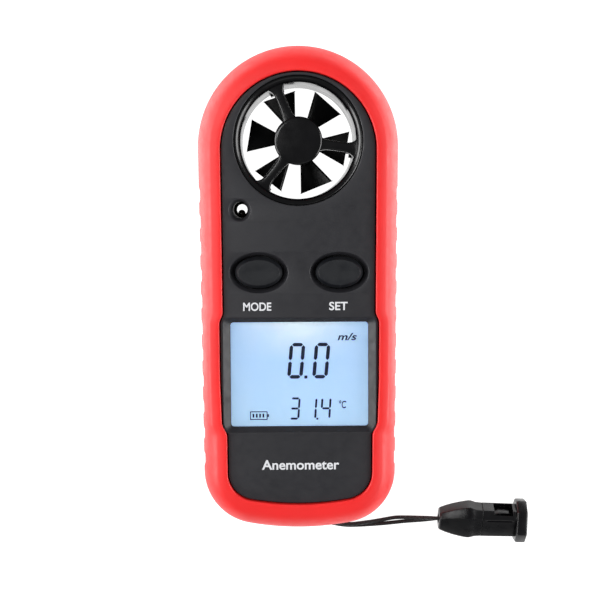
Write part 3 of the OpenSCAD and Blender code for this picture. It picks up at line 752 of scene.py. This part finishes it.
def key(name):
    """A rubber key: oval, with a sloping shoulder and a faintly dished top."""
    centre = KEYS[name]
    low, high = box("button_" + name)
    levels = [
        (KEY_STEM, KEY_STEM, low.z), (KEY_STEM, KEY_STEM, FLANGE_UNDER),
        (*KEY_FLANGE, FLANGE_UNDER), (*KEY_FLANGE, FLANGE_TOP), (KEY_A, KEY_B, FLANGE_TOP),
        (KEY_A, KEY_B, SHOULDER_Z - 0.13), (KEY_A - 0.03, KEY_B - 0.03, SHOULDER_Z),
    ]
    for i in range(6):
        t = math.radians(25 + 65 * i / 5)
        out = KEY_ROUND * (math.cos(t) - 0.9)
        levels.append((KEY_A - SHOULDER_IN + out, KEY_B - SHOULDER_IN + out,
                       high.z - KEY_ROUND * (1 - math.sin(t))))
    for k in DISH_RINGS:
        levels.append((KEY_A - DISH_IN - k * DISH_STEP, KEY_B - DISH_IN - k * DISH_STEP,
                       high.z - DISH_DEPTH * k * k))
    shape = Shape()
    made = shape.loft([oval(centre, a, b, z) for a, b, z in levels])
    shape.faces += [tuple(made[0]), tuple(reversed(made[-1]))]
    return piece(shape.object("key_" + name), name + "_key", KEY, "key_rubber",
                 "button_" + name, angle=40)


for which in KEYS:
    key(which)


# ---------------------------------------------------------------- display
GLASS_TOP = box("lcd_glass")[1].z
FILM = (0.005, 0.035)  # under and upper side of what is printed, above the glass
SEGMENTS = {"0": "abcdef", "1": "bc", "3": "abcdg", "4": "bcfg"}


def panel(name, material, slot, node, soft, corner):
    """A flat sheet with eased edges that fills the box of a CAD node."""
    low, high = box(node)
    shape = Shape()
    rings = [rounded(low.x + i, low.y + i, high.x - i, high.y - i, corner, z, 4) for i, z in (
        (soft, low.z), (0, low.z + soft), (0, high.z - soft), (soft, high.z))]
    shape.loft(rings, caps=True)
    return piece(shape.object(name), "case", material, slot, node)


panel("lcd_panel", LCD, "lcd_glass", "lcd_glass", 0.1, 0.4)
panel("lcd_cover", WINDOW, "window_clear", "lcd_window", 0.08, 0.5)


def bar(shape, a, b, thick, z, slant, base):
    """A display segment from a to b, with pointed ends, that leans over from the height base."""
    a, b = Vector(a), Vector(b)
    along = (b - a).normalized()
    side = Vector((-along.y, along.x)) * thick / 2
    tip = along * thick * 0.5
    corners = [a, a + tip + side, b - tip + side, b, b - tip - side, a + tip - side]
    shape.loft([[(p.x + (p.y - base) * slant, p.y, z + h) for p in corners] for h in FILM],
               caps=True)


def digit(shape, text, x, y, width, height, thick, slant, z):
    """A seven segment figure with its lower left corner at x, y."""
    half, gap = thick / 2, thick * 0.14
    left, right = x + half, x + width - half
    low, mid, top = y + half, y + height / 2, y + height - half
    lines = {
        "a": ((left + gap, top), (right - gap, top)), "d": ((left + gap, low), (right - gap, low)),
        "g": ((left + gap, mid), (right - gap, mid)),
        "b": ((right, mid + gap), (right, top - gap)),
        "c": ((right, low + gap), (right, mid - gap)),
        "e": ((left, low + gap), (left, mid - gap)), "f": ((left, mid + gap), (left, top - gap)),
    }
    for s in SEGMENTS[text]:
        bar(shape, *lines[s], thick, z, slant, y)


def block(shape, x0, y0, x1, y1, z):
    """A printed rectangle."""
    shape.loft([rounded(x0, y0, x1, y1, 0.03, z + h, 3) for h in FILM], caps=True)


SPEED_Y, SPEED_SIZE, SPEED_THICK, SPEED_SLANT = -19.0, (3.35, 7.75), 0.76, 0.09
HEAT_Y, HEAT_SIZE, HEAT_THICK, HEAT_SLANT = -27.95, (2.2, 4.85), 0.44, 0.07
SPEED_FIGURES = [("0", -2.7), ("0", 2.7)]
HEAT_FIGURES = [("3", -2.3), ("1", 1.35), ("4", 4.4)]
SPEED_POINT, HEAT_POINT = (1.05, -19.0, 1.7, -18.35), (3.6, -28.0, 4.02, -27.58)
BATTERY, BATTERY_LINE = (-10.75, -27.95, -6.95, -26.1), 0.2
BATTERY_NUB = (0.02, 0.32, 0.62)  # (from, to, in from the top and bottom)
CELLS, CELL_FROM, CELL_STEP, CELL_WIDE, CELL_IN = 4, 0.55, 0.72, 0.38, 0.5


def readings():
    """The figures, the point marks and the battery sign on the display."""
    shape = Shape()
    z = GLASS_TOP
    for text, x in SPEED_FIGURES:
        digit(shape, text, x, SPEED_Y, *SPEED_SIZE, SPEED_THICK, SPEED_SLANT, z)
    block(shape, *SPEED_POINT, z)
    for text, x in HEAT_FIGURES:
        digit(shape, text, x, HEAT_Y, *HEAT_SIZE, HEAT_THICK, HEAT_SLANT, z)
    block(shape, *HEAT_POINT, z)
    x0, y0, x1, y1 = BATTERY
    for edge in ((x0, y0, x1, y0 + BATTERY_LINE), (x0, y1 - BATTERY_LINE, x1, y1),
                 (x0, y0, x0 + BATTERY_LINE, y1), (x1 - BATTERY_LINE, y0, x1, y1)):
        block(shape, *edge, z)
    start, stop, side = BATTERY_NUB
    block(shape, x1 + start, y0 + side, x1 + stop, y1 - side, z)
    for i in range(CELLS):
        x = x0 + CELL_FROM + CELL_STEP * i
        block(shape, x, y0 + CELL_IN, x + CELL_WIDE, y1 - CELL_IN, z)
    return piece(shape.object("lcd_figures"), "case", SEGMENT, "lcd_glass")


readings()
PRINT_THICK = 0.03


def words(name, text, left, base, width, height, z, material, slot, bold, shear=0.0):
    """Generic wording as a thin raised print, fitted between its left end, width and height."""
    data = bpy.data.curves.new(name, "FONT")
    data.body, data.size, data.shear, data.offset = text, 1, shear, bold
    data.fill_mode = "BOTH"
    data.extrude = 0.5
    temp = added(name + "_type", data)
    mesh = bpy.data.meshes.new_from_object(
        temp.evaluated_get(bpy.context.evaluated_depsgraph_get()))
    bpy.data.objects.remove(temp)
    low = [min(v.co[i] for v in mesh.vertices) for i in range(3)]
    high = [max(v.co[i] for v in mesh.vertices) for i in range(3)]
    start, size = (left, base, z), (width, height, PRINT_THICK)
    for v in mesh.vertices:
        v.co = [(start[i] + (v.co[i] - low[i]) / (high[i] - low[i]) * size[i]) * MM
                for i in range(3)]
    return piece(added(name, mesh), "case", material, slot)


FACE_PRINT, GLASS_PRINT = (FACE_Z, PRINT, "case_black"), (GLASS_TOP, SEGMENT, "lcd_glass")
words("label_mode", "MODE", -11.95, -4.1, 6.0, 1.8, *FACE_PRINT, 0.02)
words("label_set", "SET", 6.4, -4.05, 3.95, 1.8, *FACE_PRINT, 0.02)
words("label_kind", "Anemometer", -8.2, -38.5, 16.65, 2.15, *FACE_PRINT, 0.02)
words("unit_speed", "m/s", 8.25, -10.75, 4.15, 1.6, *GLASS_PRINT, 0.022, 0.25)
words("unit_heat", "°C", 8.55, -25.55, 1.55, 1.75, *GLASS_PRINT, 0.02, 0.1)


# ---------------------------------------------------------------- cord and buckle
ROUTE_OUT = [
    (35.4, -52.9, 4.5), (33.5, -52.8, 4.5), (31.5, -52.75, 4.45), (29.5, -52.85, 3.5),
    (27, -53.1, 2.1), (24.5, -53.3, 1), (22, -53.45, 0.5), (19.5, -53.85, 0.5),
    (17, -54.2, 0.8), (14.5, -54.4, 1.3), (12, -54.6, 1.5), (9.6, -54.4, 1.7),
    (7.4, -53.4, 2.2), (5.9, -51.9, 2.8), (5.1, -50.2, 3.2),
]
PIN = middle("lanyard_pin").xy
LOOP_R, LOOP_Z = 1.95, 3.3
ROUTE_ROUND = [
    (PIN.x + LOOP_R * math.cos(math.radians(a)), PIN.y + LOOP_R * math.sin(math.radians(a)),
     LOOP_Z) for a in range(0, 181, 30)
]
ROUTE_BACK = [
    (1.3, -50.2, 3.1), (2.3, -51.8, 2.5), (3.9, -53.1, 1.6), (5.9, -54.1, 0.9),
    (8, -54.7, 0.5), (10.5, -55.1, 0.5), (13, -55.15, 0.5), (15.5, -55.05, 0.5),
    (18, -54.9, 0.5), (20.5, -54.7, 0.5), (23, -54.45, 0.5), (25, -54.2, 0.8),
    (27, -53.9, 1.5), (29.5, -53.4, 2.6), (31.5, -52.95, 3.45), (33.5, -52.9, 3.5),
    (35.4, -53, 3.5),
]
CORD_D = 0.9
BUCKLE_AT, BUCKLE_TURN, BUCKLE_ROLL = (31.5, -52.8, 4), math.radians(-2), math.radians(30)
ALONG = Matrix.Translation(BUCKLE_AT) @ Matrix.Rotation(BUCKLE_TURN, 4, "Z")
ROLLED = ALONG @ Matrix.Rotation(BUCKLE_ROLL, 4, "X")


def flowing(points, steps=5):
    """A smooth line through the points."""
    line = [Vector(p) for p in points]
    ends = [line[0] * 2 - line[1]] + line + [line[-1] * 2 - line[-2]]
    made = []
    for i in range(1, len(ends) - 2):
        p0, p1, p2, p3 = ends[i - 1:i + 3]
        for k in range(steps):
            t = k / steps
            made.append(0.5 * (2 * p1 + (p2 - p0) * t + (2 * p0 - 5 * p1 + 4 * p2 - p3) * t * t
                               + (3 * p1 - p0 - 3 * p2 + p3) * t ** 3))
    return made + [line[-1]]


def chamfered(w, h, c, x):
    """Cross section of the buckle at x: a rectangle with cut corners."""
    side, top = w / 2, h / 2
    return [(x, side, -top + c), (x, side, top - c), (x, side - c, top), (x, -side + c, top),
            (x, -side, top - c), (x, -side, -top + c), (x, -side + c, -top), (x, side - c, -top)]


def tube_tool(shape, x0, x1, r):
    turns = [2 * math.pi * i / 32 for i in range(32)]
    shape.loft([[(x, r * math.cos(a), r * math.sin(a)) for a in turns] for x in (x0, x1)],
               caps=True)


def block_tool(name, low, high, move):
    shape = Shape()
    x0, y0, z0 = low
    x1, y1, z1 = high
    shape.loft([[(x, y0, z0), (x, y1, z0), (x, y1, z1), (x, y0, z1)] for x in (x0, x1)], caps=True)
    return shape.object(name, move)


# Cross sections of the buckle's head, as (along, width, height, cut corner).
HEAD = [
    (0, 4.5, 3.5, 0.95), (0.25, 5.1, 4.05, 1.05), (1.6, 6.3, 4.65, 1.2), (3.2, 7.5, 5.2, 1.4),
    (4.8, 8.45, 5.65, 1.6), (6.0, 9.0, 5.95, 1.7), (6.6, 9.2, 6.05, 1.75), (7.0, 9.1, 6.0, 1.7),
    (7.6, 8.6, 5.75, 1.55), (8.2, 8.1, 5.5, 1.4), (9.45, 7.85, 5.4, 1.35), (9.62, 7.8, 5.35, 1.3),
]
PRONG = [  # (along, inner side, outer side, half height)
    (9.55, 1.75, 2.65, 1.3), (12.6, 1.75, 2.65, 1.3), (12.9, 1.75, 2.86, 1.1),
    (14.3, 1.75, 2.88, 1.0), (15.6, 1.8, 2.84, 0.95), (16.1, 1.95, 2.6, 0.85),
    (16.3, 2.1, 2.45, 0.7),
]
GUIDE_BAR = [(9.55, 0.7, 1), (14.2, 0.7, 1), (14.5, 0.5, 0.8)]  # (along, half width, half height)
BORE_R, BORE_ENDS = 1.05, (-1, 4)


def plug():
    """The half of the buckle that holds the cord: a faceted head and two latch prongs."""
    head = Shape()
    head.loft([chamfered(w, h, c, x) for x, w, h, c in HEAD], caps=True)
    obj = head.object("buckle_head", ROLLED)
    bore = Shape()
    tube_tool(bore, *BORE_ENDS, BORE_R)
    cut(obj, bore.object("bore_tool", ROLLED))
    ease(obj, 0.14, 28, 3)
    prongs = Shape()
    for side in (-1, 1):
        prongs.loft([[(x, side * inner, -half), (x, side * outer, -half), (x, side * outer, half),
                      (x, side * inner, half)] for x, inner, outer, half in PRONG], caps=True)
    prongs.loft([[(x, -w, -h), (x, w, -h), (x, w, h), (x, -w, h)] for x, w, h in GUIDE_BAR],
                caps=True)
    latch = prongs.object("buckle_latch", ROLLED)
    ease(latch, 0.1, 40)
    piece(latch, "case", BUCKLE, "buckle_black", "buckle_plug", angle=40)
    return piece(obj, "case", BUCKLE, "buckle_black", "buckle_plug", angle=24)


# Cross sections of the body, as (along, width, height, cut corner, depth of the groove).
BODY = [
    (9.68, 7.8, 5.35, 1.3, 0.0), (9.8, 7.85, 5.4, 1.35, 0.0), (10.6, 7.85, 5.4, 1.35, 0.02),
    (10.75, 7.85, 5.4, 1.35, 0.35), (16.3, 7.7, 5.3, 1.3, 0.35), (16.5, 7.7, 5.3, 1.3, 0.02),
    (17.31, 7.6, 5.25, 1.3, 0.0),
]
FLANGE = [
    (17.3, 8.9, 6.6, 2.0), (17.5, 9.4, 7.1, 2.2), (17.8, 9.5, 7.2, 2.2), (19.3, 9.5, 7.2, 2.2),
    (19.6, 9.3, 7.0, 2.15), (19.7, 9.0, 6.7, 2.05),
]


def grooved_section(w, h, c, x, deep):
    """A section of the buckle's body, with a groove along one edge of its upper side."""
    whole = chamfered(w, h, c, x)
    top, edge = h / 2, w / 2 - c
    dent = [(x, edge - 0.35, top), (x, edge - 0.42, top - deep), (x, edge - 0.72, top - deep),
            (x, edge - 0.8, top)]
    return whole[:3] + dent + whole[3:]


def socket():
    """The half that pulls off: a body with latch windows, and a flange with a strap pocket."""
    body = Shape()
    body.loft([grooved_section(w, h, c, x, deep) for x, w, h, c, deep in BODY], caps=True)
    obj = body.object("buckle_body", ROLLED)
    cut(obj, block_tool("cavity_tool", (9, -2.98, -1.65), (16.7, 2.98, 1.65), ROLLED),
        block_tool("window_tool", (12.2, 1.5, -1.15), (16.4, 4, 2), ROLLED),
        block_tool("window_tool", (12.2, -4, -2), (16.4, -1.5, 1.15), ROLLED))
    ease(obj, 0.1, 28)
    flange = Shape()
    flange.loft([chamfered(w, h, c, x) for x, w, h, c in FLANGE], caps=True)
    end = flange.object("buckle_flange", ALONG)
    cut(end, block_tool("strap_tool", (18.5, -3.2, -0.8), (21, 3.2, 0.8), ALONG))
    ease(end, 0.12)
    piece(end, "buckle_end", BUCKLE, "buckle_black", "buckle_socket", angle=32)
    return piece(obj, "buckle_end", BUCKLE, "buckle_black", "buckle_socket", angle=24)


buckle_head = plug()
buckle_body = socket()


def lanyard():
    """The wrist cord: out of the buckle, round the pin in the foot and back."""
    line = flowing(ROUTE_OUT + ROUTE_ROUND + ROUTE_BACK)
    data = bpy.data.curves.new("wrist_cord", "CURVE")
    data.dimensions = "3D"
    spline = data.splines.new("POLY")
    spline.points.add(len(line) - 1)
    for point, place in zip(spline.points, line):
        point.co = (*(place * MM), 1)
    data.bevel_depth = CORD_D / 2 * MM
    data.bevel_resolution = 4
    data.use_fill_caps = True
    spline.use_smooth = True
    cord = added("wrist_cord", data)
    piece(cord, "case", CORD, "cord_black", "lanyard_cord")


lanyard()


# ---------------------------------------------------------------- the back, and CAD nodes that stay
eased_node("rear_shell", "back_case", 0.18, "case", CASE, "case_black")
eased_node("battery_door", "coin_door", 0.15, "door", CASE, "case_black")
eased_node("case_screws", "screw_heads", 0.07, "case", STEEL, "steel")
eased_node("rear_bridge", "back_spokes", 0.12, "case", GUARD, "guard_black")

FINISH = {
    "front_bearing": JEWEL, "rear_bearing": JEWEL, "impeller_shaft": STEEL,
    "impeller_magnet": STEEL, "hall_sensor": EPOXY, "hall_flex": FLEX, "thermistor": BEAD,
    "main_pcb": BOARD, "main_chip": EPOXY, "crystal": STEEL, "pcb_passives": CERAMIC,
    "lcd_frame": EPOXY, "light_guide": GUIDE, "backlight_leds": LED, "zebra_strip": ZEBRA,
    "switch_mode": SWITCH, "switch_set": SWITCH, "plunger_mode": PLUNGER, "plunger_set": PLUNGER,
    "coin_cell": CELL, "contact_negative": GOLD, "contact_positive": GOLD, "pcb_screws": STEEL,
    "lanyard_pin": STEEL,
}
for node, finish in FINISH.items():
    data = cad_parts[node].data
    data.materials.clear()
    data.materials.append(finish)


# ---------------------------------------------------------------- floor and light, in metres
FLOOR_Z = -0.1 * MM
FLOOR_CORNERS = [(-3.0, -2.2), (3.0, -2.2), (3.0, 3.8), (-3.0, 3.8)]
FLOOR_BASE, WHITE = (0.3, 0.3, 0.3, 1), (1, 1, 1, 1)
GLOW_ACROSS, GLOW_UP = (0.024, 0.04), (-0.045, -0.01)  # where the floor's glow grows
FLOOR_GLOW = (1.1, 3.2)
WORLD_STRENGTH = 0.15


def floor():
    """A white sheet that glows, most at the sides of the meter, and is clear from below."""
    mesh = bpy.data.meshes.new("floor")
    mesh.from_pydata([(x, y, FLOOR_Z) for x, y in FLOOR_CORNERS], [], [(0, 1, 2, 3)])
    obj = added("floor", mesh)
    paint = Paint("floor_white", "ffffff", 0.9, Specular_IOR_Level=0.0)
    paint.bsdf.inputs["Base Color"].default_value = FLOOR_BASE
    paint.bsdf.inputs["Emission Color"].default_value = WHITE
    place = paint.axes()
    aside = paint.spread(paint.figure("ABSOLUTE", place["X"]), 0, 1, *GLOW_ACROSS)
    share = paint.figure("MULTIPLY", aside, paint.spread(place["Y"], 0, 1, *GLOW_UP))
    strength = paint.spread(share, *FLOOR_GLOW, 0, 1)
    paint.link(strength, paint.bsdf.inputs["Emission Strength"])
    clear_below = paint.nodes.new("ShaderNodeBsdfTransparent")
    facing = paint.nodes.new("ShaderNodeNewGeometry")
    mixed = paint.nodes.new("ShaderNodeMixShader")
    paint.link(facing.outputs["Backfacing"], mixed.inputs[0])
    paint.link(paint.bsdf.outputs[0], mixed.inputs[1])
    paint.link(clear_below.outputs[0], mixed.inputs[2])
    paint.link(mixed.outputs[0], paint.nodes["Material Output"].inputs["Surface"])
    mesh.materials.append(paint.mat)


floor()


def lamp(name, place, target, size, power):
    """A rectangular lamp aimed at target, its power in watts."""
    data = bpy.data.lights.new(name, "AREA")
    data.shape, data.size, data.size_y, data.energy = "RECTANGLE", size[0], size[1], power
    aim = (Vector(target) - Vector(place)).to_track_quat("-Z", "Y")
    obj = added(name, data)
    obj.matrix_world = Matrix.Translation(Vector(place)) @ aim.to_matrix().to_4x4()


lamp("key_lamp", (-0.25, 0.18, 0.61), (0.03, -0.04, 0), (0.16, 0.16), 0.8)
lamp("left_lamp", (-0.6, 0.0, 0.28), (0, 0, 0.01), (0.6, 0.3), 4.4)
lamp("right_lamp", (0.6, -0.05, 0.28), (0, 0, 0.01), (0.6, 0.3), 4.0)
lamp("foot_lamp", (0.1, -0.55, 0.5), (0, 0, 0), (0.5, 0.3), 0.2)

world = bpy.data.worlds.new("studio")
bpy.context.scene.world = world
world.use_nodes = True
background = world.node_tree.nodes["Background"]
background.inputs["Color"].default_value = WHITE
background.inputs["Strength"].default_value = WORLD_STRENGTH
bpy.context.scene.view_settings.view_transform = "Standard"
